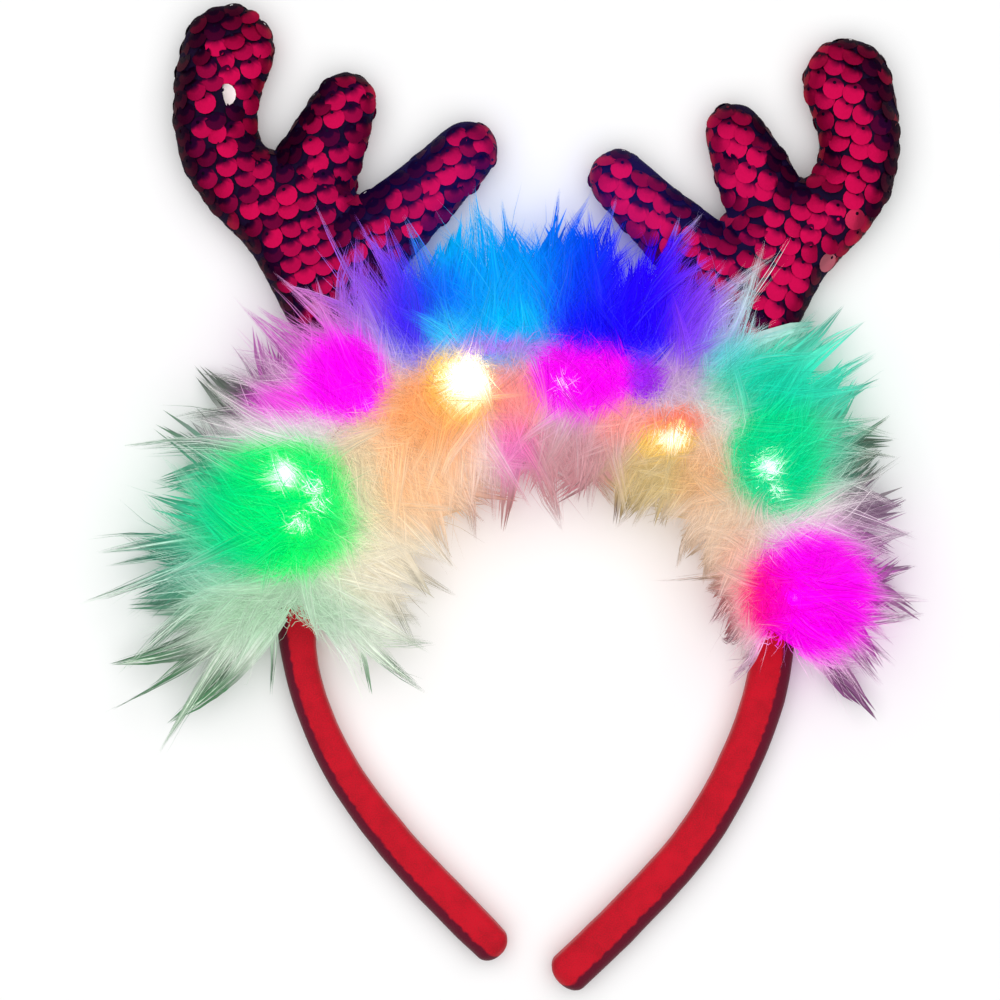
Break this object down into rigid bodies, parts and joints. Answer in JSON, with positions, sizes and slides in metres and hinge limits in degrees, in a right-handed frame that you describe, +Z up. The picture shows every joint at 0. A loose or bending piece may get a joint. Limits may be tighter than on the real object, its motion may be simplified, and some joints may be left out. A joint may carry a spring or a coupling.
{
  "type": "light-up antler headband",
  "caption": "Padded red headband with stuffed sequinned antlers and a fluffy feather trim lit from inside by coloured light beads on a thin wire.",
  "frame": {"origin": "on the flat back edge of the band, at the middle of its crown", "axes": "the headband lies on its back: +Z up and to the front of the wearer, +Y to the tips of the antlers, +X to the right of somebody facing it"},
  "size_m": [0.2267, 0.2812, 0.0466],
  "materials": {
    "band_velvet": "velvet nap",
    "sequin_cloth": "covered in red sequins",
    "feather": "fluffy down",
    "copper_wire": "enamelled",
    "led_green": "clear drop",
    "led_magenta": "clear drop",
    "led_warm": "clear drop",
    "led_azure": "clear drop",
    "led_blue": "clear drop"
  },
  "bodies": {
    "root": {"band": "band_velvet", "antler_left": "sequin_cloth", "antler_right": "sequin_cloth", "feather_trim": "feather", "light_wire": "copper_wire", "led_green_left": "led_green", "led_magenta_left": "led_magenta", "led_warm_left": "led_warm", "led_azure": "led_azure", "led_magenta_middle": "led_magenta", "led_blue": "led_blue", "led_warm_right": "led_warm", "led_green_right": "led_green", "led_magenta_right": "led_magenta"}
  },
  "joints": []
}
